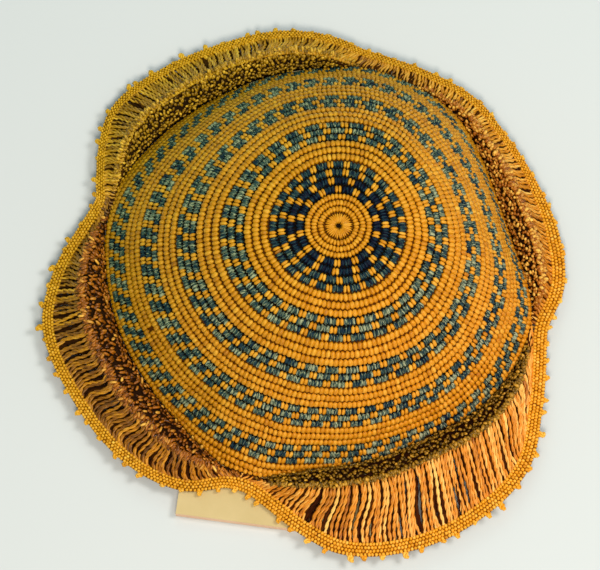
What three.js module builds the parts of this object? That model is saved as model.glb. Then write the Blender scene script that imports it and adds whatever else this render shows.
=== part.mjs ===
import * as THREE from 'three';

// A raffia prestige cap that lies on a thin display board. Millimetres, +Z up.
// A domed crown worked in rows of knotted raffia stands in a valley. Around it four soft
// lobes rise as a band of looped pile and fall again as a ruffle of plied cords, down to
// a woven rim band with a row of picots. The lobes are tied in between at four pinches.

// Crown
const crownRadius = 95.5;
const crownHeight = 68;
const crownWall = 2.8;
const apexLeanRight = 9.5;
const apexLeanFront = 6.4;

// Brim
const ruffleDepth = 36.6;
const pileReach = 18;
const pileTakeUp = 0.85;
const ridgeRise = 11;
const pileWall = 3.2;
const pileWallShare = 0.6;
const ridgeFullness = 2;
const ridgeRounding = 0.2;
const pileBulge = { out: 0.25, up: 0.62 };
const cordWall = 1.7;
const cordHeadShare = 0.6;
const rimWidth = 6.5;
const rimThickness = 2.3;
const rimRib = 0.7;
const rimStep = 0.1;
const picotPitch = 7.6;
const picotReach = 2.4;
const picotCord = 1.2;
const picotHeight = 1.6;
const picotRoot = 0.5;
const picotSteps = 3;

// Display board
const boardLength = 210;
const boardWidth = 96;
const boardThickness = 4;
const boardTurn = 7.7;
const boardCornerX = -60.4;
const boardCornerY = -114.2;

// Clearance between pieces that touch
const gap = 0.3;

// Fineness of the faceted shapes
const crownSteps = 48;
const crownRows = 12;
const pileSteps = 16;
const rimSteps = 144;
const slotRows = 5;
const hemStep = 0.5;

const seat = boardThickness + gap;

// The crown's profile: shares of its radius and of its height, from apex to edge.
const crownProfile = [
  { out: 0, down: 0 },
  { out: 0.3, down: 0.04 },
  { out: 0.51, down: 0.17 },
  { out: 0.675, down: 0.38 },
  { out: 0.83, down: 0.63 },
  { out: 0.945, down: 0.88 },
  { out: 1, down: 1 },
];

// Around the cap, in degrees from the right: the crown's edge as a share of crownRadius,
// and the brim between the crown and the rim band as a share of ruffleDepth.
const sections = [
  { at: -17, crown: 1.037, brim: 0.005 },
  { at: -6, crown: 0.983, brim: 0.24 },
  { at: 5, crown: 0.918, brim: 0.372 },
  { at: 20, crown: 0.898, brim: 0.323 },
  { at: 35, crown: 0.931, brim: 0.2 },
  { at: 46, crown: 0.97, brim: 0.132 },
  { at: 60, crown: 0.985, brim: 0.033 },
  { at: 70, crown: 0.987, brim: 0 },
  { at: 78, crown: 0.985, brim: 0.022 },
  { at: 86, crown: 0.96, brim: 0.199 },
  { at: 98, crown: 0.942, brim: 0.343 },
  { at: 113, crown: 0.93, brim: 0.404 },
  { at: 128, crown: 0.933, brim: 0.473 },
  { at: 141, crown: 0.95, brim: 0.491 },
  { at: 150, crown: 0.97, brim: 0.286 },
  { at: 158, crown: 0.985, brim: 0.082 },
  { at: 164, crown: 0.985, brim: 0 },
  { at: 173, crown: 0.98, brim: 0.146 },
  { at: 184, crown: 0.965, brim: 0.452 },
  { at: 195, crown: 0.96, brim: 0.669 },
  { at: 210, crown: 0.963, brim: 0.662 },
  { at: 229, crown: 0.987, brim: 0.6 },
  { at: 240, crown: 1.03, brim: 0.383 },
  { at: 248, crown: 1.065, brim: 0.05 },
  { at: 255, crown: 1.065, brim: 0.03 },
  { at: 262, crown: 1.03, brim: 0.29 },
  { at: 269, crown: 0.995, brim: 0.634 },
  { at: 276, crown: 0.984, brim: 0.885 },
  { at: 288, crown: 0.98, brim: 1 },
  { at: 300, crown: 0.982, brim: 0.984 },
  { at: 313, crown: 1.015, brim: 0.776 },
  { at: 323, crown: 1.035, brim: 0.415 },
  { at: 334, crown: 1.04, brim: 0.126 },
];

// The four lobes: the stretch of the rim that each takes up, in degrees, how much shorter
// its ridge is than that stretch, how far its pile reaches as a share of pileReach, and how
// many gaps there are between its cords.
const lobes = [
  { name: 'right', from: -13, to: 61, fan: 0.96, pile: 1, gaps: 14 },
  { name: 'far', from: 81, to: 156, fan: 0.95, pile: 1.05, gaps: 20 },
  { name: 'left', from: 168, to: 246, fan: 0.93, pile: 1.1, gaps: 22 },
  { name: 'front', from: 257, to: 339, fan: 0.88, pile: 0.7, gaps: 24 },
];

const rad = THREE.MathUtils.degToRad;

const strawMaterial = (colour, roughness) =>
  new THREE.MeshStandardMaterial({ color: colour, roughness, metalness: 0 });

// Value of a section's column at an azimuth, smoothly all the way round.
function around(column, azimuth) {
  const count = sections.length;
  const turned = THREE.MathUtils.euclideanModulo(azimuth - sections[0].at, 360) + sections[0].at;
  let i = count - 1;
  while (sections[i].at > turned) i -= 1;
  const row = (k) => {
    const turns = Math.floor(k / count);
    const source = sections[k - turns * count];
    return { at: source.at + turns * 360, value: source[column] };
  };
  const [before, start, end, after] = [row(i - 1), row(i), row(i + 1), row(i + 2)];
  const span = end.at - start.at;
  const startSlope = (end.value - before.value) / (end.at - before.at);
  const endSlope = (after.value - start.value) / (after.at - start.at);
  const t = (turned - start.at) / span;
  return (2 * t ** 3 - 3 * t ** 2 + 1) * start.value + (t ** 3 - 2 * t ** 2 + t) * span * startSlope
    + (3 * t ** 2 - 2 * t ** 3) * end.value + (t ** 3 - t ** 2) * span * endSlope;
}

const onCircle = (radius, azimuth, z) =>
  new THREE.Vector3(radius * Math.cos(rad(azimuth)), radius * Math.sin(rad(azimuth)), z);

const crownEdge = (azimuth) => crownRadius * around('crown', azimuth);
const brimDepth = (azimuth) => ruffleDepth * Math.max(0, around('brim', azimuth));

// The pile takes up most of a narrow brim and only part of a wide one.
function pileDepth(lobe, azimuth) {
  const reach = pileReach * lobe.pile;
  return reach * (1 - Math.exp(-pileTakeUp * brimDepth(azimuth) / reach));
}

const ridgeHeight = (lobe, azimuth) =>
  ridgeRise * Math.min(1, ridgeFullness * pileDepth(lobe, azimuth) / pileReach);
const pileWallAt = (lobe, azimuth) => Math.min(pileWall, pileWallShare * pileDepth(lobe, azimuth));

// Body from closed loops of points: strips join loop to loop, and either fans close the
// two ends at a point each, or the last loop joins the first.
function skinLoops(loops, startPoint, endPoint) {
  const size = loops[0].length;
  const points = loops.flat();
  const faces = [];
  const strips = startPoint ? loops.length - 1 : loops.length;
  for (let i = 0; i < strips; i += 1) {
    const here = i * size;
    const next = ((i + 1) % loops.length) * size;
    for (let j = 0; j < size; j += 1) {
      const k = (j + 1) % size;
      faces.push([here + j, next + j, next + k], [here + j, next + k, here + k]);
    }
  }
  if (startPoint) {
    const last = (loops.length - 1) * size;
    points.push(startPoint, endPoint);
    for (let j = 0; j < size; j += 1) {
      const k = (j + 1) % size;
      faces.push([points.length - 2, j, k], [points.length - 1, last + k, last + j]);
    }
  }
  return geometryFrom(points, faces);
}

// Sheet with a thickness, from two grids of points, with the absent cells cut through.
function piercedSheet(top, bottom, present) {
  const columns = top.length - 1;
  const rows = top[0].length - 1;
  const there = (i, j) => i >= 0 && i < columns && j >= 0 && j < rows && present(i, j);
  const upper = (i, j) => i * (rows + 1) + j;
  const lower = (i, j) => (columns + 1) * (rows + 1) + upper(i, j);
  const faces = [];
  const quad = (a, b, c, d) => faces.push([a, b, c], [a, c, d]);
  for (let i = 0; i < columns; i += 1) {
    for (let j = 0; j < rows; j += 1) {
      if (!there(i, j)) continue;
      quad(upper(i, j), upper(i + 1, j), upper(i + 1, j + 1), upper(i, j + 1));
      quad(lower(i, j), lower(i, j + 1), lower(i + 1, j + 1), lower(i + 1, j));
      if (!there(i, j - 1)) quad(upper(i + 1, j), upper(i, j), lower(i, j), lower(i + 1, j));
      if (!there(i, j + 1)) {
        quad(upper(i, j + 1), upper(i + 1, j + 1), lower(i + 1, j + 1), lower(i, j + 1));
      }
      if (!there(i - 1, j)) quad(upper(i, j), upper(i, j + 1), lower(i, j + 1), lower(i, j));
      if (!there(i + 1, j)) {
        quad(upper(i + 1, j + 1), upper(i + 1, j), lower(i + 1, j), lower(i + 1, j + 1));
      }
    }
  }
  return geometryFrom([...top.flat(), ...bottom.flat()], faces);
}

// Keeps the points that faces use, and turns every face outwards.
function geometryFrom(points, faces) {
  const used = [...new Set(faces.flat())];
  const place = new Map(used.map((index, order) => [index, order]));
  const corners = used.map((index) => points[index]);
  const triangles = faces.map((face) => face.map((index) => place.get(index)));
  const volume = triangles.reduce((sum, [a, b, c]) =>
    sum + corners[a].dot(new THREE.Vector3().crossVectors(corners[b], corners[c])), 0);
  const index = triangles.flatMap(([a, b, c]) => (volume > 0 ? [a, b, c] : [a, c, b]));
  const geometry = new THREE.BufferGeometry().setFromPoints(corners);
  geometry.setIndex(index);
  geometry.computeVertexNormals();
  return geometry;
}

function piece(name, geometry, material) {
  const mesh = new THREE.Mesh(geometry, material);
  mesh.name = name;
  return mesh;
}

// The crown is a dome with a wall, open below. Its apex leans to the right and the front,
// and its edge is pulled out towards the pinches.
function crown() {
  const outline = new THREE.SplineCurve(
    crownProfile.map(({ out, down }) => new THREE.Vector2(out * crownRadius, down * crownHeight)));
  const loopAt = (share, inwards) => {
    const point = outline.getPointAt(share);
    const along = outline.getTangentAt(share);
    const down = point.y / crownHeight;
    const loop = [];
    for (let j = 0; j < crownSteps; j += 1) {
      const azimuth = 360 * j / crownSteps;
      const pull = 1 + (around('crown', azimuth) - 1) * share ** 2;
      const spot = onCircle(point.x * pull - along.y * inwards, azimuth,
        seat + crownHeight - point.y - along.x * inwards);
      spot.z = Math.max(spot.z, seat);
      spot.x += apexLeanRight * (1 - down);
      spot.y -= apexLeanFront * (1 - down);
      loop.push(spot);
    }
    return loop;
  };
  const rows = Array.from({ length: crownRows }, (_, row) => (row + 1) / crownRows);
  const outer = rows.map((share) => loopAt(share, 0));
  const inner = rows.map((share) => loopAt(share, crownWall)).reverse();
  const apex = new THREE.Vector3(apexLeanRight, -apexLeanFront, seat + crownHeight);
  const innerApex = apex.clone().setZ(apex.z - crownWall);
  return piece('crown', skinLoops([...outer, ...inner], apex, innerApex), strawMaterial(0x8f8240, 0.8));
}

// Azimuths along a lobe's ridge, which is a little shorter than its rim.
function ridgeAzimuth(lobe, share) {
  const middle = (lobe.from + lobe.to) / 2;
  return middle + (lobe.to - lobe.from) * lobe.fan * (share - 0.5);
}

// A pile band leans outwards from the valley to the ridge, with a rounded inner face.
function pileBand(lobe) {
  const loops = [];
  for (let i = 0; i <= pileSteps; i += 1) {
    const azimuth = ridgeAzimuth(lobe, i / pileSteps);
    const edge = crownEdge(azimuth);
    const depth = pileDepth(lobe, azimuth);
    const wall = pileWallAt(lobe, azimuth);
    const rise = ridgeHeight(lobe, azimuth);
    loops.push([
      onCircle(edge + gap, azimuth, seat),
      onCircle(edge + gap + wall, azimuth, seat),
      onCircle(edge + depth, azimuth, seat + rise - wall),
      onCircle(edge + depth, azimuth, seat + rise - ridgeRounding * wall),
      onCircle(edge + depth - wall / 2, azimuth, seat + rise),
      onCircle(edge + gap + pileBulge.out * depth, azimuth, seat + pileBulge.up * rise),
    ]);
  }
  const middle = (loop) =>
    loop.reduce((sum, corner) => sum.add(corner), new THREE.Vector3()).divideScalar(loop.length);
  const geometry = skinLoops(loops, middle(loops[0]), middle(loops.at(-1)));
  return piece(`pile_${lobe.name}`, geometry, strawMaterial(0x8a6a1e, 0.9));
}

// The line where cords and rim band meet, moved outwards by a distance square to it.
function hem(azimuth, outwards, z) {
  const at = (angle) => onCircle(crownEdge(angle) + gap + brimDepth(angle), angle, z);
  const ahead = at(azimuth + hemStep).sub(at(azimuth - hemStep)).normalize();
  return at(azimuth).add(new THREE.Vector3(ahead.y, -ahead.x, 0).multiplyScalar(outwards));
}

// A ruffle of cords falls from the ridge to the rim band in a soft S, with gaps between.
function ruffle(lobe) {
  const columns = 2 * lobe.gaps + 1;
  const top = [];
  const bottom = [];
  for (let i = 0; i <= columns; i += 1) {
    const share = i / columns;
    const headAzimuth = ridgeAzimuth(lobe, share);
    const footAzimuth = THREE.MathUtils.lerp(lobe.from, lobe.to, share);
    const headHeight = seat + ridgeHeight(lobe, headAzimuth)
      - ridgeRounding * pileWallAt(lobe, headAzimuth);
    const headRadius = crownEdge(headAzimuth) + pileDepth(lobe, headAzimuth) + gap;
    const head = onCircle(headRadius, headAzimuth, headHeight);
    const foot = hem(footAzimuth, -gap, seat + rimThickness - rimStep);
    const reach = Math.hypot(foot.x - head.x, foot.y - head.y);
    const outward = foot.clone().sub(head).setZ(0).normalize();
    const fall = head.z - foot.z;
    const upperRow = [];
    const lowerRow = [];
    for (let j = 0; j <= slotRows; j += 1) {
      const v = j / slotRows;
      const height = head.z - fall * (3 * v ** 2 - 2 * v ** 3);
      const slope = Math.atan2(fall * 6 * v * (1 - v), reach);
      const upper = head.clone().lerp(foot, v).setZ(height);
      const wall = j === 0 ? cordHeadShare * cordWall : cordWall;
      const inwards = Math.min(wall * Math.sin(slope), v * reach);
      const lower = upper.clone().addScaledVector(outward, -inwards);
      lower.z = Math.max(seat, lower.z - wall * Math.cos(slope));
      upperRow.push(upper);
      lowerRow.push(lower);
    }
    top.push(upperRow);
    bottom.push(lowerRow);
  }
  const present = (i, j) => i % 2 === 0 || j === 0 || j === slotRows - 1;
  return piece(`ruffle_${lobe.name}`, piercedSheet(top, bottom, present), strawMaterial(0xc98a1e, 0.75));
}

// The rim band is woven flat, with ribs along it.
function rimBand() {
  const profile = [
    { out: 0, up: 0 },
    { out: 1, up: 0 },
    { out: 1, up: rimThickness - rimRib },
    { out: 0.83, up: rimThickness },
    { out: 0.5, up: rimThickness - rimRib },
    { out: 0.17, up: rimThickness },
    { out: 0, up: rimThickness - rimRib },
  ];
  const loops = profile.map(({ out, up }) => {
    const line = [];
    for (let i = 0; i < rimSteps; i += 1) {
      line.push(hem(360 * i / rimSteps, out * rimWidth, seat + up));
    }
    return line;
  });
  return piece('rim_band', skinLoops(loops), strawMaterial(0xd9992a, 0.75));
}

// The picots stand out from a thin cord along the rim band.
function picotEdge() {
  const start = rimWidth + gap;
  const rimLength = 2 * Math.PI * (crownRadius + rimWidth + 0.5 * ruffleDepth);
  const picots = Math.round(rimLength / picotPitch);
  const corners = [
    { out: 0, up: 0.1 },
    { out: 1, up: 0.25 },
    { out: 1, up: 0.75 },
    { out: 0, up: 1 },
  ];
  const loops = corners.map(({ out, up }) => {
    const line = [];
    for (let i = 0; i < picotSteps * picots; i += 1) {
      const tip = i % picotSteps === 1;
      const reach = tip ? picotReach : picotRoot;
      const height = tip ? picotHeight : picotCord;
      line.push(hem(360 * i / (picotSteps * picots), start + out * reach, seat + up * height));
    }
    return line;
  });
  return piece('picot_edge', skinLoops(loops), strawMaterial(0xe0a52c, 0.75));
}

// A thin board lies flat under the cap, turned a little, with one corner in sight.
function displayBoard() {
  const geometry = new THREE.BoxGeometry(boardWidth, boardLength, boardThickness);
  geometry.translate(boardWidth / 2, boardLength / 2, boardThickness / 2);
  const board = piece('display_board', geometry, strawMaterial(0xead9a4, 0.7));
  board.position.set(boardCornerX, boardCornerY, 0);
  board.rotation.z = -rad(boardTurn);
  return board;
}

const cap = new THREE.Group();
cap.add(crown(), rimBand(), picotEdge(), displayBoard());
for (const lobe of lobes) cap.add(pileBand(lobe), ruffle(lobe));

// The origin is on the ground, in the middle of the whole footprint.
const footprint = new THREE.Box3().setFromObject(cap, true).getCenter(new THREE.Vector3());
cap.position.set(-footprint.x, -footprint.y, 0);

const part = new THREE.Group();
part.add(cap);

export default part;
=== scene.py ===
# %% [markdown]
# # A raffia prestige cap on its display board
#
# The real cap is worked from the middle outwards, like a coiled basket: a raffia core is laid in rings,
# and upright stitches wrap each ring to the one before it. Gold and blue stitches make the check. Around
# the edge stand four soft lobes: a band of short looped pile, then a ruffle of two-ply cords that hang
# down to a narrow woven band with small picot loops. The lessons below build it in that order, and each
# one says what the piece is, how else it could be made, and why it is made this way.

import math

import bpy
import numpy as np
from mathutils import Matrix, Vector


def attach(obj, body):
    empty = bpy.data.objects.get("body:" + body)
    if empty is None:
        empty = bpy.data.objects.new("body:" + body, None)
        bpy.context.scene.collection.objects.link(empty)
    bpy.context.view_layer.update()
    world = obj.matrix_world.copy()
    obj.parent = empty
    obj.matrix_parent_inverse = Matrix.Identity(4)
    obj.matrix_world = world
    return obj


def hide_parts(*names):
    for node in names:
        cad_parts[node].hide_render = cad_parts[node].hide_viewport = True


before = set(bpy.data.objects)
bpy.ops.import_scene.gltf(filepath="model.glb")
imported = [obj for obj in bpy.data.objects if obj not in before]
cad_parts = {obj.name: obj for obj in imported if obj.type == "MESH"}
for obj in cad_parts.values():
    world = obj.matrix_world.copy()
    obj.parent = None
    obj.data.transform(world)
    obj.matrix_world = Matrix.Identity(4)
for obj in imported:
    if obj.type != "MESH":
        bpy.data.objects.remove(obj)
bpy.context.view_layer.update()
MM = 0.001
print("nodes:", ", ".join(sorted(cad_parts)))

# %% [markdown]
# ## The plan of the cap
#
# Every piece needs to know where the crown ends and how wide the brim is at each angle. One could read
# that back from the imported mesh, but its facets would show. The same few numbers that shaped the solid
# are repeated here, so the fine work follows the smooth curve between the facets.

# %% Sizes of the cap, in millimetres
CROWN_RADIUS = 95.5
CROWN_HEIGHT = 68.0
CROWN_WALL = 2.8
APEX_LEAN_RIGHT = 9.5
APEX_LEAN_FRONT = 6.4
RUFFLE_DEPTH = 36.6
PILE_REACH = 18.0
PILE_TAKE_UP = 0.85
RIDGE_RISE = 11.0
RIDGE_FULLNESS = 2.0
PILE_WALL = 3.2
PILE_WALL_SHARE = 0.6
RIM_WIDTH = 6.5
GAP = 0.3
SEAT = 4.3

crown_tip = max((v.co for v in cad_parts["crown"].data.vertices), key=lambda co: co.z)
CENTRE = np.array([crown_tip.x / MM - APEX_LEAN_RIGHT, crown_tip.y / MM + APEX_LEAN_FRONT])
print("middle of the cap, mm:", CENTRE.round(2))

# %% The crown's profile and the outline around it
PROFILE = np.array([
    (0, 0), (0.3, 0.04), (0.51, 0.17), (0.675, 0.38), (0.83, 0.63), (0.945, 0.88), (1, 1),
]) * (CROWN_RADIUS, CROWN_HEIGHT)

# Degrees from the right, crown edge as a share of its radius, brim as a share of its depth.
SECTIONS = np.array([
    (-17, 1.037, 0.005), (-6, 0.983, 0.24), (5, 0.918, 0.372), (20, 0.898, 0.323), (35, 0.931, 0.2),
    (46, 0.97, 0.132), (60, 0.985, 0.033), (70, 0.987, 0), (78, 0.985, 0.022), (86, 0.96, 0.199),
    (98, 0.942, 0.343), (113, 0.93, 0.404), (128, 0.933, 0.473), (141, 0.95, 0.491), (150, 0.97, 0.286),
    (158, 0.985, 0.082), (164, 0.985, 0), (173, 0.98, 0.146), (184, 0.965, 0.452), (195, 0.96, 0.669),
    (210, 0.963, 0.662), (229, 0.987, 0.6), (240, 1.03, 0.383), (248, 1.065, 0.05), (255, 1.065, 0.03),
    (262, 1.03, 0.29), (269, 0.995, 0.634), (276, 0.984, 0.885), (288, 0.98, 1), (300, 0.982, 0.984),
    (313, 1.015, 0.776), (323, 1.035, 0.415), (334, 1.04, 0.126),
])
CROWN_COLUMN, BRIM_COLUMN = 1, 2

# Name, the pinches where it starts and ends in degrees, how much shorter its ridge is than its rim,
# and how far its pile reaches.
LOBES = {
    "right": (-17, 70, 0.96, 1.0),
    "far": (70, 162, 0.95, 1.05),
    "left": (162, 251, 0.93, 1.1),
    "front": (251, 343, 0.9, 0.7),
}
print(len(SECTIONS), "sections and", len(LOBES), "lobes")

# %% Reading the outline


def around(column, azimuth):
    """The value of a column of SECTIONS at each azimuth, on a smooth curve round the cap."""
    at, value = SECTIONS[:, 0], SECTIONS[:, column]
    count = len(at)
    turned = np.mod(np.asarray(azimuth, float) - at[0], 360) + at[0]
    start = np.searchsorted(at, turned, side="right") - 1

    def row(k):
        return at[np.mod(k, count)] + 360 * np.floor_divide(k, count), value[np.mod(k, count)]

    (a0, v0), (a1, v1), (a2, v2), (a3, v3) = (row(start + k) for k in (-1, 0, 1, 2))
    span = a2 - a1
    t = (turned - a1) / span
    rise_in, rise_out = (v2 - v0) / (a2 - a0) * span, (v3 - v1) / (a3 - a1) * span
    return ((2 * t**3 - 3 * t**2 + 1) * v1 + (t**3 - 2 * t**2 + t) * rise_in
            + (3 * t**2 - 2 * t**3) * v2 + (t**3 - t**2) * rise_out)


def crown_edge(azimuth):
    return CROWN_RADIUS * around(CROWN_COLUMN, azimuth)


def brim_depth(azimuth):
    return RUFFLE_DEPTH * np.maximum(0, around(BRIM_COLUMN, azimuth))


def pile_depth(lobe, azimuth):
    reach = PILE_REACH * LOBES[lobe][3]
    return reach * (1 - np.exp(-PILE_TAKE_UP * brim_depth(azimuth) / reach))


def ridge_height(lobe, azimuth):
    return RIDGE_RISE * np.minimum(1, RIDGE_FULLNESS * pile_depth(lobe, azimuth) / PILE_REACH)


def pile_wall(lobe, azimuth):
    return np.minimum(PILE_WALL, PILE_WALL_SHARE * pile_depth(lobe, azimuth))


def on_plan(radius, azimuth, z):
    """Points in millimetres from radius, azimuth and height."""
    a = np.radians(azimuth)
    radius, a, z = np.broadcast_arrays(radius, a, z)
    return np.stack([CENTRE[0] + radius * np.cos(a), CENTRE[1] + radius * np.sin(a), z + 0.0], -1)


print("crown edge at the front:", round(float(crown_edge(270)), 1), "mm")

# %% [markdown]
# ## Points and directions on the dome
#
# Stitches are placed by two numbers: how far down the dome they are, measured along its curve, and at
# which angle. For each such place we need a point, the downhill direction and the outward direction.
# Small steps on the surface give both directions, which is simpler than working out the slopes by hand.

# %% The dome as a surface


def through(points, t):
    """A smooth curve through the points, at t from 0 to 1, with even steps between the points."""
    last = len(points) - 1
    place = np.clip(np.asarray(t, float), 0, 1) * last
    i = np.minimum(place.astype(int), last - 1)
    w = (place - i)[..., None]
    a, b, c, d = (points[np.clip(i + k, 0, last)] for k in (-1, 0, 1, 2))
    v0, v1 = (c - a) * 0.5, (d - b) * 0.5
    return (2 * b - 2 * c + v0 + v1) * w**3 + (3 * c - 3 * b - 2 * v0 - v1) * w**2 + v0 * w + b


fine = through(PROFILE, np.linspace(0, 1, 2001))
walked = np.concatenate([[0], np.cumsum(np.linalg.norm(np.diff(fine, axis=0), axis=1))])
DOME_LENGTH = walked[-1]


def dome_point(walk, azimuth):
    """The point on the dome after a walk of that many millimetres from the apex."""
    out = np.interp(walk, walked, fine[:, 0])
    down = np.interp(walk, walked, fine[:, 1])
    pull = 1 + (around(CROWN_COLUMN, azimuth) - 1) * (np.asarray(walk) / DOME_LENGTH) ** 2
    point = on_plan(out * pull, azimuth, SEAT + CROWN_HEIGHT - down)
    lean = 1 - down / CROWN_HEIGHT
    point[..., 0] += APEX_LEAN_RIGHT * lean
    point[..., 1] -= APEX_LEAN_FRONT * lean
    return point


def unit(v):
    return v / np.maximum(np.linalg.norm(v, axis=-1, keepdims=True), 1e-9)


def dome_place(walk, azimuth):
    """Point, downhill direction and outward direction on the dome."""
    step, turn = 0.2, 0.4
    downhill = unit(dome_point(walk + step, azimuth) - dome_point(np.maximum(walk - step, 0), azimuth))
    sideways = unit(dome_point(walk, azimuth + turn) - dome_point(walk, azimuth - turn))
    return dome_point(walk, azimuth), downhill, unit(np.cross(downhill, sideways))


def ring_length(walk):
    """Length of a ring of the dome, in millimetres."""
    ring = dome_point(np.full(361, walk), np.arange(361))
    return float(np.linalg.norm(np.diff(ring, axis=0), axis=1).sum())


print("dome, apex to edge:", round(float(DOME_LENGTH), 1), "mm")

# %% [markdown]
# ## The rim line
#
# Cords, woven band and picots all meet along one wavy line, the hem. A point on it can be moved outwards,
# square to the line. The sideways step is taken in plan only, because the band lies flat.

# %% The hem


def hem(azimuth, outwards, z):
    """A point on the line where the cords meet the band, moved outwards square to it."""
    azimuth = np.asarray(azimuth, float)

    def at(angle):
        return on_plan(crown_edge(angle) + GAP + brim_depth(angle), angle, z)

    ahead = unit(at(azimuth + 0.5) - at(azimuth - 0.5))
    square = np.stack([ahead[..., 1], -ahead[..., 0], np.zeros_like(azimuth)], -1)
    return at(azimuth) + square * np.asarray(outwards)[..., None]


round_the_rim = np.linspace(0, 360, 3601)
rim_walk = np.concatenate([[0], np.cumsum(
    np.linalg.norm(np.diff(hem(round_the_rim, RIM_WIDTH / 2 + 0 * round_the_rim, 0.0), axis=0), axis=1))])
RIM_LENGTH = rim_walk[-1]


def rim_azimuth(share):
    """The azimuth at a share of the way round the rim, in even steps of its length."""
    return np.interp(np.mod(share, 1) * RIM_LENGTH, rim_walk, round_the_rim)


print("length of the rim:", round(float(RIM_LENGTH)), "mm")

# %% [markdown]
# ## Camera, floor and soft light
#
# The camera stands high in front, 72 degrees above the table, and far off with a long lens, as the cap
# was seen. The light is a broad pale sky with one large soft lamp on the right, a warmer one high in
# front and a weak one behind. Large lamps keep the shadows soft.

# %% Camera
ELEVATION = math.radians(72)
DISTANCE = 1.6
LENS = 218.2
# How far the camera looks past the middle of the cap, to the right and up, in metres.
ASIDE = 0.00682
ABOVE = 0.01034


def in_scene(name, data):
    """A new object with that data, linked into the scene."""
    made = bpy.data.objects.new(name, data)
    bpy.context.scene.collection.objects.link(made)
    return made


back = Vector((0, -math.cos(ELEVATION), math.sin(ELEVATION)))
right = Vector((1, 0, 0))
up = back.cross(right)
target = Vector((CENTRE[0] * MM, CENTRE[1] * MM, SEAT * MM))

camera = in_scene("camera", bpy.data.cameras.new("camera"))
camera.data.sensor_width = 36
camera.data.lens = LENS
camera.data.clip_start = 0.05
camera.location = target + back * DISTANCE - right * ASIDE - up * ABOVE
camera.rotation_euler = (math.pi / 2 - ELEVATION, 0, 0)
bpy.context.scene.camera = camera
bpy.context.scene.view_settings.view_transform = "Standard"
print("camera at", [round(v, 3) for v in camera.location])

# %% Node helpers and plain colours


def add(tree, kind, feeds=None, **options):
    """Adds a node, sets its options and feeds its inputs with sockets or plain values."""
    made = tree.nodes.new(kind)
    for option, value in options.items():
        setattr(made, option, value)
    for place, value in (feeds or {}).items():
        if isinstance(value, bpy.types.NodeSocket):
            tree.links.new(value, made.inputs[place])
        else:
            made.inputs[place].default_value = value
    return made


def calc(tree, operation, *values, clamp=False):
    """A number worked out from sockets and plain numbers."""
    made = add(tree, "ShaderNodeMath", dict(enumerate(values)), operation=operation, use_clamp=clamp)
    return made.outputs[0]


def calc_vector(tree, operation, *values):
    return add(tree, "ShaderNodeVectorMath", dict(enumerate(values)), operation=operation).outputs[0]


def scaled(tree, vector, factor):
    return add(tree, "ShaderNodeVectorMath", {0: vector, "Scale": factor}, operation="SCALE").outputs[0]


def noise(tree, place, scale, detail=2.0):
    made = add(tree, "ShaderNodeTexNoise", {"Vector": place, "Scale": scale, "Detail": detail})
    return made.outputs["Fac"]


def colour(red, green, blue):
    """A colour given as 0 to 255, in the linear values that shaders use."""
    return tuple(
        c / 12.92 if c <= 0.04045 else ((c + 0.055) / 1.055) ** 2.4
        for c in (red / 255, green / 255, blue / 255)
    ) + (1,)


def ramp(tree, factor, stops):
    """A colour ramp with the stops given as (place, red, green, blue)."""
    made = add(tree, "ShaderNodeValToRGB", {"Fac": factor})
    elements = made.color_ramp.elements
    while len(elements) < len(stops):
        elements.new(0.5)
    for element, (place, *shade) in zip(elements, stops):
        element.position = place
        element.color = colour(*shade)
    return made.outputs["Color"]


print("half grey in linear values:", round(colour(128, 128, 128)[0], 3))

# %% Light and floor
world = bpy.data.worlds.new("pale_studio")
world.use_nodes = True
sky = world.node_tree.nodes["Background"]
sky.inputs["Color"].default_value = colour(234, 248, 246)
sky.inputs["Strength"].default_value = 0.38
bpy.context.scene.world = world


def lamp(name, place, size, power, shade):
    """A round soft lamp that faces the cap: place and size in metres, power in watts."""
    light = bpy.data.lights.new(name, "AREA")
    light.shape = "DISK"
    light.size = size
    light.energy = power
    light.color = colour(*shade)[:3]
    holder = in_scene(name, light)
    holder.location = place
    holder.rotation_euler = (Vector(place) - target).to_track_quat("Z", "Y").to_euler()


lamp("lamp_right", (0.75, 0.05, 1.15), 0.5, 8.6, (255, 248, 236))
lamp("lamp_front", (0.0, -0.8, 1.2), 0.5, 12.5, (255, 238, 216))
lamp("lamp_behind", (-0.1, 1.1, 0.8), 0.7, 2.2, (236, 255, 236))

FLOOR_HALF = 1.6
FLOOR_DROP = 0.0002
floor_mesh = bpy.data.meshes.new("floor")
corners = [(x * FLOOR_HALF, y * FLOOR_HALF, -FLOOR_DROP) for x, y in ((-1, -1), (1, -1), (1, 1), (-1, 1))]
floor_mesh.from_pydata(corners, [], [(0, 1, 2, 3)])
floor = in_scene("floor", floor_mesh)
print("three soft lamps and a floor")

# %% [markdown]
# ## Shared effects: fibre, painted light and dust
#
# Raffia is a strip of palm leaf, so it has fine lengthwise streaks, and old work carries some dust. Across
# the cap the tone is painted to change slowly, warmer at the near right and greener at the far left:
# painted light, standing in for a warm lamp on one side and a cool one on the other. Both effects are
# needed in every raffia finish, so each is a node group that is built once. A group puts out only masks;
# the colours and the shader stay in each material.

# %% Fibre group
STREAK_STRETCH = 0.12
BLOTCH_SCALE = 0.45


def new_group(name, sockets):
    """An empty shader group with sockets given as label, way, kind and default value."""
    group = bpy.data.node_groups.new(name, "ShaderNodeTree")
    for label, way, kind, value in sockets:
        socket = group.interface.new_socket(label, in_out=way, socket_type=kind)
        if value is not None:
            socket.default_value = value
    return group


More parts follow.
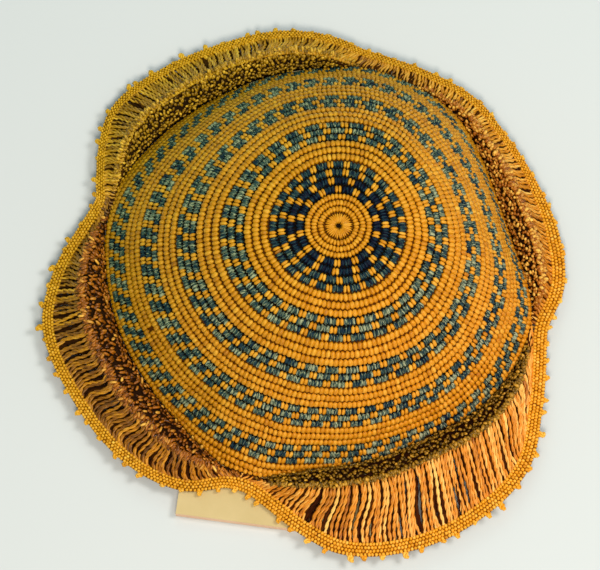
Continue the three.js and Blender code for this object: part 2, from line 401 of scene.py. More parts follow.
def make_fibre_group():
    """Streaks along a strip: Grain is a place in the strip, with its length along X, in millimetres."""
    group = new_group("raffia_fibre", [
        ("Grain", "INPUT", "NodeSocketVector", None),
        ("Fineness", "INPUT", "NodeSocketFloat", 3.0),
        ("Contrast", "INPUT", "NodeSocketFloat", 1.0),
        ("Streak", "OUTPUT", "NodeSocketFloat", None),
        ("Blotch", "OUTPUT", "NodeSocketFloat", None),
    ])
    given = add(group, "NodeGroupInput").outputs
    drawn_out = calc_vector(group, "MULTIPLY", given["Grain"], (STREAK_STRETCH, 1, 1))
    centred = calc(group, "SUBTRACT", noise(group, drawn_out, given["Fineness"]), 0.5)
    stronger = calc(group, "MULTIPLY_ADD", centred, given["Contrast"], 0.5, clamp=True)
    blotch = noise(group, given["Grain"], BLOTCH_SCALE)
    add(group, "NodeGroupOutput", {"Streak": stronger, "Blotch": blotch})
    return group


FIBRE = make_fibre_group()
print("group:", FIBRE.name, "with", len(FIBRE.nodes), "nodes")

# %% Painted light and dust group
# Scales per metre, and how fast and from where the painted light tint turns green on the way to the far
# left.
PATCH_SCALE = 28.0
SPECK_SCALE = 900.0
GREEN_SLOPE = 3.4
GREEN_START = 0.45


def make_light_tint_and_dust_group():
    """Painted light over the whole cap, greener at the far left as under cool light and warmer at the near
    right as under warm light; and specks of dust.
    """
    group = new_group("painted_light_and_dust", [
        ("Patches", "INPUT", "NodeSocketFloat", 0.35),
        ("Green", "OUTPUT", "NodeSocketFloat", None),
        ("Dust", "OUTPUT", "NodeSocketFloat", None),
    ])
    given = add(group, "NodeGroupInput").outputs
    place = add(group, "ShaderNodeTexCoord").outputs["Object"]
    parts = add(group, "ShaderNodeSeparateXYZ", {"Vector": place}).outputs
    wander = calc(group, "SUBTRACT", noise(group, place, PATCH_SCALE), 0.5)
    slope = calc(group, "SUBTRACT", parts["Y"], parts["X"])
    across = calc(group, "MULTIPLY_ADD", slope, GREEN_SLOPE, GREEN_START)
    green = calc(group, "MULTIPLY_ADD", wander, given["Patches"], across, clamp=True)
    specks = noise(group, place, SPECK_SCALE, 3.0)
    dust = add(group, "ShaderNodeMapRange", {"Value": specks, 1: 0.55, 2: 0.75}).outputs[0]
    add(group, "NodeGroupOutput", {"Green": green, "Dust": dust})
    return group


LIGHT_TINT_AND_DUST = make_light_tint_and_dust_group()
print("group:", LIGHT_TINT_AND_DUST.name, "with", len(LIGHT_TINT_AND_DUST.nodes), "nodes")

# %% [markdown]
# ## The raffia finishes
#
# Each stitch carries two attributes: tint, a number from 0 to 1 that picks its shade, and grain, the
# place inside the stitch, so the streaks follow the strip whichever way it is laid. A photo texture
# would slide over the stitches and repeat; this pattern stays fixed to each strip.

# %% A raffia material
# Each tint reads its own place in the pattern, far from the others, so neighbours don't match.
TINT_JUMP = (310, 170, 530)
RELIEF_DEPTH = 0.2 * MM


def attribute(tree, name, output):
    return add(tree, "ShaderNodeAttribute", attribute_name=name).outputs[output]


def mix(tree, factor, first, second):
    return add(tree, "ShaderNodeMix", {0: factor, 6: first, 7: second}, data_type="RGBA").outputs[2]


def new_material(name):
    """A material with its node tree and its shader."""
    material = bpy.data.materials.new(name)
    material.use_nodes = True
    return material, material.node_tree, material.node_tree.nodes["Principled BSDF"]


def feed_shader(tree, shader, base, mask, low, high, height, strength, depth):
    """Feeds a colour, a roughness that follows a mask between two values, and a relief."""
    roughness = add(tree, "ShaderNodeMapRange", {"Value": mask, 3: low, 4: high})
    relief = add(tree, "ShaderNodeBump", {"Strength": strength, "Distance": depth, "Height": height})
    tree.links.new(base, shader.inputs["Base Color"])
    tree.links.new(roughness.outputs[0], shader.inputs["Roughness"])
    tree.links.new(relief.outputs["Normal"], shader.inputs["Normal"])


def raffia(name, warm, green, streak_spread, fineness, rough, bump, dust_shade, dust_share, sheen):
    """A raffia finish from two ramps of the same tints, one for the warm side and one for the green; the
    mix of the two is painted light, warm at the near right and cool at the far left.
    """
    material, tree, shader = new_material(name)
    own = calc_vector(tree, "MULTIPLY_ADD", attribute(tree, "tint", "Vector"), TINT_JUMP,
                      attribute(tree, "grain", "Vector"))
    fibre = add(tree, "ShaderNodeGroup", {
        "Grain": own, "Fineness": fineness, "Contrast": streak_spread}, node_tree=FIBRE).outputs
    light_and_dust = add(tree, "ShaderNodeGroup", node_tree=LIGHT_TINT_AND_DUST).outputs
    shade = calc(tree, "SUBTRACT", fibre["Streak"], 0.5)
    place = calc(tree, "ADD", shade, attribute(tree, "tint", "Fac"))
    both = mix(tree, light_and_dust["Green"], ramp(tree, place, warm), ramp(tree, place, green))
    dusted = mix(tree, calc(tree, "MULTIPLY", light_and_dust["Dust"], dust_share), both, colour(*dust_shade))
    feed_shader(tree, shader, dusted, fibre["Blotch"], rough - 0.08, rough + 0.12,
                fibre["Streak"], bump, RELIEF_DEPTH)
    shader.inputs["Specular IOR Level"].default_value = sheen
    return material


# Name, tints of the warm side, tints of the green side, spread and fineness of the streaks, roughness,
# relief, colour of the dust, share of the dust, sheen.
GOLD = raffia(
    "gold_raffia",
    [(0.0, 166, 84, 0), (0.5, 227, 145, 14), (1.0, 255, 194, 80)],
    [(0.0, 108, 80, 0), (0.5, 174, 136, 0), (1.0, 212, 178, 20)],
    0.9, 2.6, 0.42, 0.5, (250, 220, 140), 0.08, 0.28)
print(GOLD.name, "has", len(GOLD.node_tree.nodes), "nodes")

# %% The other raffia finishes
BLUE = raffia(
    "blue_raffia",
    [(0.0, 0, 3, 36), (0.35, 14, 48, 70), (0.6, 66, 84, 70), (1.0, 182, 184, 150)],
    [(0.0, 0, 3, 24), (0.35, 10, 54, 62), (0.6, 34, 78, 62), (1.0, 140, 164, 122)],
    2.4, 2.6, 0.6, 0.6, (150, 160, 140), 0.05, 0.15)
PILE = raffia(
    "looped_pile",
    [(0.0, 52, 18, 0), (0.5, 176, 98, 4), (1.0, 255, 204, 92)],
    [(0.0, 48, 22, 0), (0.5, 160, 94, 2), (1.0, 240, 184, 66)],
    0.9, 2.4, 0.35, 0.5, (240, 200, 130), 0.05, 0.4)
# The same pile finish made darker and greener: painted shade, for the pile in front and far, which is
# turned away from the warm light.
PILE_PAINTED_SHADE = raffia(
    "olive_pile_painted_shade",
    [(0.0, 42, 30, 0), (0.5, 138, 98, 4), (1.0, 228, 168, 52)],
    [(0.0, 44, 32, 0), (0.5, 152, 116, 2), (1.0, 230, 190, 52)],
    0.9, 2.4, 0.35, 0.5, (240, 200, 130), 0.05, 0.4)
CORD = raffia(
    "plied_cord",
    [(0.0, 28, 10, 0), (0.35, 146, 76, 4), (0.65, 226, 140, 26), (1.0, 255, 204, 108)],
    [(0.0, 26, 20, 0), (0.35, 112, 82, 0), (0.65, 184, 142, 4), (1.0, 224, 188, 50)],
    0.8, 2.4, 0.4, 0.5, (250, 220, 160), 0.1, 0.4)
BAND = raffia(
    "woven_band",
    [(0.0, 170, 96, 0), (0.5, 240, 166, 22), (1.0, 255, 214, 100)],
    [(0.0, 126, 92, 0), (0.5, 196, 154, 4), (1.0, 234, 194, 48)],
    0.8, 2.6, 0.4, 0.5, (250, 226, 160), 0.1, 0.35)
# A dark raffia finish that paints shade: the core between the crown's rows, the pile's backing, the cords
# of the lower layer and the strip under the band's ribs.
SHADE = raffia(
    "painted_shade_raffia",
    [(0.0, 10, 6, 4), (0.3, 62, 22, 2), (1.0, 150, 80, 12)],
    [(0.0, 8, 8, 4), (0.3, 52, 30, 2), (1.0, 130, 88, 12)],
    0.4, 2.0, 0.85, 0.6, (120, 90, 40), 0.0, 0.08)
print("raffia finishes:", len(bpy.data.materials))

# %% [markdown]
# ## Board and floor
#
# The board is a flat cream panel. Its solid already has the right shape, so the node stays and only gets
# a finish: faint mottling on the face and a peach tone on the cut edges, told apart by height.

# %% Board and floor finishes
BOARD_FACE = SEAT - GAP - 0.1


def board_finish():
    material, tree, shader = new_material("cream_board")
    place = add(tree, "ShaderNodeTexCoord").outputs["Object"]
    mottle = noise(tree, place, 60.0, 4.0)
    face = ramp(tree, mottle, [(0.3, 198, 178, 124), (0.7, 208, 188, 138)])
    edge = ramp(tree, mottle, [(0.3, 232, 186, 150), (0.7, 240, 198, 164)])
    height = add(tree, "ShaderNodeSeparateXYZ", {"Vector": place}).outputs["Z"]
    on_edge = calc(tree, "LESS_THAN", height, BOARD_FACE * MM)
    speck = noise(tree, place, SPECK_SCALE)
    feed_shader(tree, shader, mix(tree, on_edge, face, edge), speck, 0.55, 0.75, speck, 0.15, 0.1 * MM)
    return material


def floor_finish():
    material, _, shader = new_material("pale_floor")
    shader.inputs["Base Color"].default_value = colour(209, 217, 223)
    shader.inputs["Roughness"].default_value = 0.8
    return material


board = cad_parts["display_board"]
board.data.materials.clear()
board.data.materials.append(board_finish())
floor.data.materials.append(floor_finish())
print("board and floor finished")

# %% [markdown]
# ## Two Geometry Nodes trees
#
# Thousands of stitches differ only in place, direction, size and shade, so one tree lays them all: it
# puts a small stitch on each point of a guide mesh and reads those four things from the point. Cords and
# picots share a second tree, which winds two plies around a guide line. Modelling each by hand would
# take weeks, and a particle system could not follow the rows. Both trees end in plain geometry.

# %% Helpers for the trees
FLOAT, VECTOR = "FLOAT", "FLOAT_VECTOR"


def new_tree(name, inputs):
    """A geometry tree with one geometry in, one out and the inputs given as label, kind and value."""
    tree = bpy.data.node_groups.new(name, "GeometryNodeTree")
    tree.interface.new_socket("Geometry", in_out="INPUT", socket_type="NodeSocketGeometry")
    for label, kind, value in inputs:
        socket = tree.interface.new_socket(label, in_out="INPUT", socket_type=kind)
        if value is not None:
            socket.default_value = value
    tree.interface.new_socket("Geometry", in_out="OUTPUT", socket_type="NodeSocketGeometry")
    return tree


def named(tree, name, kind):
    made = add(tree, "GeometryNodeInputNamedAttribute", {"Name": name}, data_type=kind)
    return made.outputs["Attribute"]


def end_tree(tree, geometry, material):
    """Turns instances into plain geometry, gives it its finish and puts it out."""
    real = add(tree, "GeometryNodeRealizeInstances", {"Geometry": geometry})
    finished = add(tree, "GeometryNodeSetMaterial", {"Geometry": real.outputs[0], "Material": material})
    add(tree, "NodeGroupOutput", {0: finished.outputs[0]})


print("kinds of attribute:", FLOAT, VECTOR)

# %% The stitch tree


def make_stitch_tree():
    tree = new_tree("lay_stitches", [
        ("Stitch", "NodeSocketObject", None),
        ("Plumpness", "NodeSocketFloat", 1.0),
        ("Wander", "NodeSocketFloat", 0.1),
        ("Seed", "NodeSocketInt", 1),
        ("Material", "NodeSocketMaterial", None),
    ])
    given = add(tree, "NodeGroupInput").outputs
    stitch = add(tree, "GeometryNodeObjectInfo", {"Object": given["Stitch"]})
    upright = add(tree, "FunctionNodeAlignRotationToVector", {"Vector": named(tree, "out", VECTOR)},
                  axis="Z")
    laid = add(tree, "FunctionNodeAlignRotationToVector", {
        "Rotation": upright.outputs[0], "Vector": named(tree, "along", VECTOR)},
        axis="X", pivot_axis="Z")
    least = calc(tree, "MULTIPLY", given["Wander"], -1.0)
    angle = add(tree, "FunctionNodeRandomValue", {
        2: least, 3: given["Wander"], "Seed": given["Seed"]}, data_type=FLOAT)
    turn = add(tree, "FunctionNodeAxisAngleToRotation", {"Angle": angle.outputs[1]})
    turned = add(tree, "FunctionNodeRotateRotation", {
        0: laid.outputs[0], 1: turn.outputs[0]}, rotation_space="LOCAL")
    plump = add(tree, "ShaderNodeCombineXYZ", {"X": 1.0, "Y": 1.0, "Z": given["Plumpness"]})
    size = calc_vector(tree, "MULTIPLY", named(tree, "size", VECTOR), plump.outputs[0])
    placed = add(tree, "GeometryNodeInstanceOnPoints", {
        "Points": given["Geometry"], "Instance": stitch.outputs["Geometry"],
        "Rotation": turned.outputs[0], "Scale": size})
    end_tree(tree, placed.outputs[0], given["Material"])
    return tree


STITCHES = make_stitch_tree()
print("tree:", STITCHES.name, "with", len(STITCHES.nodes), "nodes")

# %% The cord tree
# The grain along the winding, from one ply to the other and from one tint to the next.
CORD_GRAIN = (4.5, 9.0, 40.0)


def make_cord_tree():
    tree = new_tree("wind_cords", [
        ("Ply radius", "NodeSocketFloat", 0.0005),
        ("Openness", "NodeSocketFloat", 1.0),
        ("Lay length", "NodeSocketFloat", 0.0045),
        ("Step", "NodeSocketFloat", 0.0008),
        ("Sides", "NodeSocketInt", 5),
        ("Material", "NodeSocketMaterial", None),
    ])
    given = add(tree, "NodeGroupInput").outputs
    line = add(tree, "GeometryNodeMeshToCurve", {"Mesh": given["Geometry"]})
    even = add(tree, "GeometryNodeResampleCurve", {
        "Curve": line.outputs[0], "Length": given["Step"]}, mode="LENGTH")
    ring = add(tree, "GeometryNodeCurvePrimitiveCircle", {
        "Resolution": given["Sides"], "Radius": given["Ply radius"]})
    length = add(tree, "GeometryNodeSplineParameter").outputs["Length"]
    turns = calc(tree, "DIVIDE", length, given["Lay length"])
    normal = add(tree, "GeometryNodeInputNormal").outputs[0]
    tangent = add(tree, "GeometryNodeInputTangent").outputs[0]
    side = calc_vector(tree, "CROSS_PRODUCT", tangent, normal)
    distance = calc(tree, "MULTIPLY", given["Ply radius"], given["Openness"])
    plies = add(tree, "GeometryNodeJoinGeometry")
    for half_turn in (0.0, 0.5):
        angle = calc(tree, "MULTIPLY", calc(tree, "ADD", turns, half_turn), 2 * math.pi)
        one = scaled(tree, normal, calc(tree, "COSINE", angle))
        other = scaled(tree, side, calc(tree, "SINE", angle))
        offset = scaled(tree, calc_vector(tree, "ADD", one, other), distance)
        grain = add(tree, "ShaderNodeCombineXYZ", {
            "X": turns, "Y": half_turn, "Z": named(tree, "tint", FLOAT)})
        wide = calc_vector(tree, "MULTIPLY", grain.outputs[0], CORD_GRAIN)
        marked = add(tree, "GeometryNodeStoreNamedAttribute", {
            "Geometry": even.outputs[0], "Name": "grain", "Value": wide}, data_type=VECTOR, domain="POINT")
        wound = add(tree, "GeometryNodeSetPosition", {"Geometry": marked.outputs[0], "Offset": offset})
        body = add(tree, "GeometryNodeCurveToMesh", {
            "Curve": wound.outputs[0], "Profile Curve": ring.outputs[0], "Fill Caps": True})
        tree.links.new(body.outputs[0], plies.inputs[0])
    smooth = add(tree, "GeometryNodeSetShadeSmooth", {"Geometry": plies.outputs[0]})
    end_tree(tree, smooth.outputs[0], given["Material"])
    return tree


CORDS = make_cord_tree()
print("tree:", CORDS.name, "with", len(CORDS.nodes), "nodes")

# %% Running a tree and keeping its result


def plain_object(name, mesh, material, stands_for=()):
    """A finished piece of the cap: it rides on the root body and may stand for CAD nodes."""
    piece = in_scene(name, mesh)
    mesh.materials.clear()
    mesh.materials.append(material)
    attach(piece, "root")
    if stands_for:
        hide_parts(*stands_for)
    mesh.calc_loop_triangles()
    print(f"{name}: {len(mesh.loop_triangles)} triangles")
    return piece


def run_tree(name, guide, tree, values, material, stands_for=()):
    """Evaluates a tree on a guide mesh and keeps the result as a plain piece."""
    carrier = in_scene(f"{name}_guide", guide)
    modifier = carrier.modifiers.new("tree", "NODES")
    modifier.node_group = tree
    identifiers = {
        item.name: item.identifier
        for item in tree.interface.items_tree
        if item.item_type == "SOCKET" and item.in_out == "INPUT"
    }
    for label, value in {**values, "Material": material}.items():
        modifier[identifiers[label]] = value
    depsgraph = bpy.context.evaluated_depsgraph_get()
    mesh = bpy.data.meshes.new_from_object(
        carrier.evaluated_get(depsgraph), preserve_all_data_layers=True, depsgraph=depsgraph)
    bpy.data.objects.remove(carrier)
    bpy.data.meshes.remove(guide)
    for used_up in ("along", "out", "size"):
        if used_up in mesh.attributes:
            mesh.attributes.remove(mesh.attributes[used_up])
    mesh.name = name
    return plain_object(name, mesh, material, stands_for)


print("meshes so far:", len(bpy.data.meshes))

# %% [markdown]
# ## One stitch
#
# A stitch is a strip of raffia bent over the core: round on top, flat below, narrow where it dives into
# the work. It is one unit long, wide and thick, so that each point's size scales it. It has few faces,
# because there will be thousands, and smooth shading rounds it. Grain remembers the place in the strip.

# %% Make a stitch
# How far the ends dip, how thick the lower half is, and about how big a stitch is in millimetres.
DIP = 0.12
LOWER_HALF = 0.6
STITCH_GRAIN = (3.5, 1.6, 1.2)


def store(mesh, name, values):
    """Stores a number or a vector on each point of a mesh."""
    values = np.asarray(values, np.float32)
    kind, key = (FLOAT, "value") if values.ndim == 1 else (VECTOR, "vector")
    mesh.attributes.new(name, kind, "POINT").data.foreach_set(key, values.ravel())


def make_stitch(name, sides, rings, belly):
    """A closed lens along X; belly says how fast it narrows towards its ends."""
    angles = 2 * np.pi * (np.arange(sides) + 0.5) / sides
    points, faces = [(-0.5, 0, -DIP)], []
    for place in np.linspace(-0.5, 0.5, rings + 2)[1:-1]:
        girth = 0.5 * (1 - abs(2 * place) ** belly) ** 0.5
        bend = -DIP * (2 * place) ** 2
        for a in angles:
            height = girth * math.sin(a) * (1 if a < math.pi else LOWER_HALF)
            points.append((place, girth * math.cos(a), bend + height))
    points.append((0.5, 0, -DIP))
    last = len(points) - 1
    for j in range(sides):
        k = (j + 1) % sides
        faces.append((0, 1 + k, 1 + j))
        for ring in range(rings - 1):
            here, ahead = 1 + ring * sides, 1 + (ring + 1) * sides
            faces.append((here + j, here + k, ahead + k, ahead + j))
        faces.append((last, 1 + (rings - 1) * sides + j, 1 + (rings - 1) * sides + k))
    mesh = bpy.data.meshes.new(name)
    mesh.from_pydata(points, [], faces)
    mesh.polygons.foreach_set("use_smooth", [True] * len(mesh.polygons))
    store(mesh, "grain", np.array(points) * STITCH_GRAIN)
    return in_scene(name, mesh)


KNOT = make_stitch("knot", 6, 3, 3.2)
FLOAT_STITCH = make_stitch("float_stitch", 5, 2, 6)
print("knot faces:", len(KNOT.data.polygons))

# %% [markdown]
# ## The ground of the crown
#
# Under the stitches runs the coiled core. It shows as dark lines between rows and knots, and it closes the
# crown below; its dark colour is painted shade, the shade that lies between the stitches. It is a shell
# with an outer and an inner face, ribbed where each row runs, and it stands for the crown's solid. A bump
# map could fake the ribs, but their edge would be flat at the rim.

# %% Rows of the crown
CENTRE_DISC = 6.2
# Kind, number of rows, height of a row in millimetres, repeats of the check around, azimuth of one check.
BANDS = [
    ("gold", 3, 2.8, (0,), 0),
    ("dots", 4, 3.78, (14, 15, 21, 24), 0),
    ("gold", 3, 3.57, (0,), 0),
    ("check", 3, 3.73, (31, 31, 32), 260.5),
    ("gold", 3, 4.07, (0,), 0),
    ("check", 3, 3.73, (42, 43, 43), 257.1),
    ("gold", 3, 3.7, (0,), 0),
    ("check", 3, 3.8, (57, 57, 58), 256.0),
    ("gold", 3, 3.83, (0,), 0),
    ("check", 3, 4.15, (70, 70, 70), 258.3),
    ("gold", 3, 3.7, (0,), 0),
]
ROWS = []
walk = CENTRE_DISC
for kind, count, height, repeats, check_azimuth in BANDS:
    for row in range(count):
        ROWS.append((kind, row, walk + height / 2, height, repeats[row % len(repeats)], check_azimuth))
        walk += height
print(len(ROWS), "rows, out to", round(walk, 1), "mm of", round(float(DOME_LENGTH), 1))

# %% The outer rows wave
# Degree, and how far a row would be pushed down the dome at its edge, in millimetres.
WAVE = np.array([
    (0, -1), (15, -4), (30, -6.5), (45, -6.5), (55, 1.5), (65, 9.5), (80, 9.5), (90, 9), (100, 6.5),
    (110, 3.5), (120, -3), (135, -7), (150, -7), (165, -1.5), (180, 1.5), (195, 2), (210, 0), (225, -1),
    (240, -4.5), (250, -8), (260, -4), (275, 2), (290, 5.5), (305, 8.5), (320, 5.5), (330, 1.5),
    (340, -1.5), (350, -0.5), (360, -1),
])
WAVE_POWER = 1.6
push = np.convolve(np.interp(np.arange(-4, 365) % 360, WAVE[:, 0], WAVE[:, 1]), np.ones(9) / 9, "valid")


def waved(row_walk, azimuth):
    """The walk to a row at each azimuth: level near the middle, waving towards the edge."""
    pushed = np.interp(np.mod(azimuth, 360), np.arange(361), push)
    return row_walk + pushed * (row_walk / DOME_LENGTH) ** WAVE_POWER


print("at the edge the rows move", round(float(push.min()), 1), "to", round(float(push.max()), 1), "mm")

# %% Faces between loops of points


def skin(loops, ring, closed=False):
    """Faces between loops of ring points each; closed also joins the last loop to the first."""
    faces = []
    for i in range(loops if closed else loops - 1):
        here, ahead = i * ring, (i + 1) % loops * ring
        for j in range(ring):
            k = (j + 1) % ring
            faces.append((here + j, ahead + j, ahead + k, here + k))
    return faces


def capped_skin(loops, ring):
    """The same with a fan on both ends, round the two points that follow the loops."""
    faces = skin(loops, ring)
    last, middle = (loops - 1) * ring, loops * ring
    for j in range(ring):
        k = (j + 1) % ring
        faces += [(middle, j, k), (middle + 1, last + k, last + j)]
    return faces


print("four loops of six points take", len(skin(4, 6)), "faces, capped", len(capped_skin(4, 6)))

# %% Ground shell
# Millimetres below the dome: between two rows, along the middle of a row, at the crown's edge, at the tip.
BETWEEN_ROWS = 1.15
ALONG_ROWS = 0.55
AT_EDGE = 0.25
AT_TIP = 1.4
# Walk, depth and tint of the loops inside the first row.
TIP_LOOPS = ((2.0, 0.8, 0.1), (4.2, 0.8, 0.3))
# The core's painted shade is darker under the blue rows than under the gold ones.
GOLD_CORE = 0.45
BLUE_CORE = 0.02
# The loops stop this far from the edge and keep apart there; only the last one goes nearly all the way.
LAST_ROOM = 0.05
ROOM = 0.6
APART = 0.04


def crown_ground():
    columns = 120
    azimuth = np.arange(columns) * 360 / columns
    loops = list(TIP_LOOPS)
    for kind, _, middle, height, _, _ in ROWS:
        tint = GOLD_CORE if kind == "gold" else BLUE_CORE
        loops += [(middle - height / 2, BETWEEN_ROWS, tint), (middle, ALONG_ROWS, tint)]
    # A last loop runs down to the very edge, so no light comes through beside the pile.
    loops.append((2 * DOME_LENGTH, AT_EDGE, BLUE_CORE))
    outer, inner = [], []
    for left, (walked_to, depth, _) in zip(range(len(loops) - 1, -1, -1), loops):
        limit = DOME_LENGTH - (ROOM + APART * (left - 1) if left else LAST_ROOM)
        point, _, out = dome_place(np.minimum(waved(walked_to, azimuth), limit), azimuth)
        outer.append(point - out * depth)
        inner.append(point - out * CROWN_WALL)
    shell = np.concatenate(outer + inner[::-1])
    shell[:, 2] = np.maximum(shell[:, 2], SEAT)
    tip = dome_point(np.zeros(1), np.zeros(1))[0]
    points = np.vstack([shell, tip - (0, 0, AT_TIP), tip - (0, 0, CROWN_WALL)]) * MM
    tints = [tint for _, _, tint in loops]
    tint = np.repeat(tints + tints[::-1], columns)
    return points, capped_skin(2 * len(loops), columns), np.append(tint, [0, 0])


def shell_mesh(name, points, faces, tint):
    """A mesh with the attributes that the raffia finishes read."""
    mesh = bpy.data.meshes.new(name)
    mesh.from_pydata(points, [], faces)
    mesh.polygons.foreach_set("use_smooth", [True] * len(mesh.polygons))
    store(mesh, "tint", np.broadcast_to(tint, len(points)))
    store(mesh, "grain", points / MM)
    return mesh


plain_object("crown_ground", shell_mesh("crown_ground", *crown_ground()), SHADE, ["crown"])

# %% [markdown]
# ## Stitches of the crown
#
# The stitches stand upright in their rows: gold ones are plump knots, blue ones flatter strips. In a check
# row two gold knots alternate with three or four blue strips, and each row is shifted against the last.
# In the middle the blue is nearly black and the gold shows as single dots. A slight wander in
# place, turn and size keeps the handmade look, and the seed is fixed, so each run is the same. At two
# small worn spots stitches are missing and the core shows, painted dark as shade.

# %% Sizes of the stitches
draw = np.random.default_rng(7)
ROW_GOLD_WIDTH = 2.05
CHECK_GOLD_WIDTH = 1.7
BLUE_WIDTH = 1.5
DOT_WIDTH = 2.9
# Length as a share of the row, width as a share of its place in it, height and sink in millimetres.
ROW_GOLD = (1.08, 1.14, 2.1, 0.62)
CHECK_GOLD = (1.04, 1.04, 1.9, 0.6)
CHECK_BLUE = (1.12, 1.3, 2.0, 0.6)
SPOKE = (1.0, 1.0, 1.5, 0.5)
# Where a repeat starts and how far the next row is shifted, in repeats. The checks climb in slants.
DOT_START, DOT_SHIFT = 0.26, 0.67
CHECK_START, CHECK_SHIFT = -0.19, -0.31
# The first rows of dots lie in navy, the others in grey blue.
NAVY_ROWS, NAVY, GREY_BLUE = 2, 0.05, 0.34
# Walk and azimuth of the worn spots, how big they are and how round.
WORN = ((84.5, 234.5), (104.5, 205.5))
WORN_RADIUS = 1.6
WORN_ROUNDNESS = 0.8
# The last stitches before the crown's edge keep this room, and those just past it close up to it.
EDGE_ROOM = 1.2
CLOSE_UP = 3


def row_of(azimuth, row_walk, row_height, place_width, stitch, tint):
    """Stitches of one row, at those azimuths."""
    long, wide, height, sink = stitch
    walk_to = waved(row_walk, azimuth) + draw.normal(0, 0.09, len(azimuth))
    end = DOME_LENGTH - EDGE_ROOM
    walk_to = np.where(walk_to < end + CLOSE_UP, np.minimum(walk_to, end), walk_to)
    kept = walk_to <= end
    for worn_walk, worn_azimuth in WORN:
        sideways = np.radians(azimuth - worn_azimuth) * worn_walk * WORN_ROUNDNESS
        kept &= np.hypot(walk_to - worn_walk, sideways) > WORN_RADIUS
    azimuth, walk_to, tint = azimuth[kept], walk_to[kept], tint[kept]
    count = len(azimuth)
    point, downhill, out = dome_place(walk_to, azimuth)
    size = np.stack([
        row_height * long * draw.normal(1.0, 0.04, count),
        place_width * wide * draw.normal(1.0, 0.05, count),
        height * draw.normal(1.0, 0.06, count)], -1)
    return point - out * sink, downhill, out, size, tint


print("gold stitches are up to", ROW_GOLD_WIDTH, "mm wide, dots", DOT_WIDTH / 2, "mm")

# %% Place the stitches
gold_rows, gold_checks, blue_checks = [], [], []
for kind, row, row_walk, height, repeats, check_azimuth in ROWS:
    around_row = ring_length(row_walk)
    if kind == "gold":
        width = min(ROW_GOLD_WIDTH, 1.3 + 0.02 * row_walk)
        count = round(around_row / width)
        azimuth = (np.arange(count) + draw.uniform()) * 360 / count
        tint = draw.normal(0.5, 0.09, count)
        gold_rows.append(row_of(azimuth, row_walk, height, width, ROW_GOLD, tint))
        continue
    repeat = around_row / repeats
    golden = DOT_WIDTH if kind == "dots" else 2 * CHECK_GOLD_WIDTH
    blues = max(2, round((repeat - golden) / BLUE_WIDTH))
    blue_width = (repeat - golden) / blues
    if kind == "dots":
        shift = DOT_SHIFT * row + DOT_START
    else:
        shift = check_azimuth / 360 * repeats + CHECK_START + CHECK_SHIFT * row
    for k in range(repeats):
        start = (k + shift) * repeat + draw.normal(0, 0.15)
        knots = start + golden * np.array([0.25, 0.75])
        strips = start + golden + blue_width * (np.arange(blues) + 0.5)
        gold_checks.append(row_of(
            knots / around_row * 360, row_walk, height, golden / 2, CHECK_GOLD, draw.normal(0.55, 0.1, 2)))
        if kind == "dots":
            tint = draw.normal(NAVY if row < NAVY_ROWS else GREY_BLUE, 0.04, blues)
        else:
            tint = draw.normal(0.58, 0.06) + draw.normal(0, 0.12, blues)
        blue_checks.append(row_of(
            strips / around_row * 360, row_walk, height, blue_width, CHECK_BLUE, tint))

# The middle: long stitches that run out from a small hole.
SPOKES, SPOKE_WALK, SPOKE_LENGTH, SPOKE_WIDTH = 34, 3.6, 5.4, 0.9
spoke_azimuth = np.arange(SPOKES) * 360 / SPOKES
gold_rows.append(row_of(
    spoke_azimuth, SPOKE_WALK, SPOKE_LENGTH, SPOKE_WIDTH, SPOKE, draw.normal(0.5, 0.08, SPOKES)))
print(sum(len(p[0]) for p in gold_rows), sum(len(p[0]) for p in gold_checks),
      sum(len(p[0]) for p in blue_checks), "stitches")

# %% Lay the stitches


def stitch_guide(places):
    """A mesh of loose points that carry direction, size and tint. Sizes are in millimetres."""
    point, along, out, size, tint = (np.concatenate(column) for column in zip(*places))
    guide = bpy.data.meshes.new("stitch_points")
    guide.from_pydata(point * MM, [], [])
    for name, values in (("along", along), ("out", out), ("size", size * MM), ("tint", tint)):
        store(guide, name, values)
    return guide


run_tree("crown_gold_rows", stitch_guide(gold_rows), STITCHES,
         {"Stitch": KNOT, "Wander": 0.12, "Seed": 3}, GOLD)
run_tree("crown_gold_checks", stitch_guide(gold_checks), STITCHES,
         {"Stitch": KNOT, "Wander": 0.14, "Seed": 5}, GOLD)
run_tree("crown_blue_checks", stitch_guide(blue_checks), STITCHES,
         {"Stitch": FLOAT_STITCH, "Wander": 0.2, "Seed": 9}, BLUE)

# %% [markdown]
# ## The pile of the lobes
#
# Between the crown and the ruffle stands a band of short loops, dense as a carpet. Hair particles would
# make thousands of thin strands; seen from a hand's length the loops read as plump grains with dark gaps.
# So each lobe gets a rounded backing, painted dark as the shade in the gaps, and the stitch tree sets
# grains on it in staggered rows. On the left they hang outwards, on the far side and the right they stand
# up, and in front they lie close.

# %% The pile's surface
# Shares of the ridge's height: halfway up the pile, and outside where the loops hang over the cords.
HALFWAY_UP = 0.62
HANGING = 0.88
# Shares of the pile's depth: halfway up, and how far out the loops hang.
HALFWAY_OUT = 0.25
HANGING_OUT = 1.25
ROUNDED_OFF = 0.2
BACKING_INSET = 0.8


def ridge_azimuth(lobe, share):
    """The ridge is shorter than the rim in the middle of a lobe and meets it at the pinches."""
    first, last, fan, _ = LOBES[lobe]
    across = np.asarray(share) - 0.5
    drawn_in = (1 - fan) * across * (1 - np.abs(2 * across) ** 6)
    return (first + last) / 2 + (last - first) * (across - drawn_in)


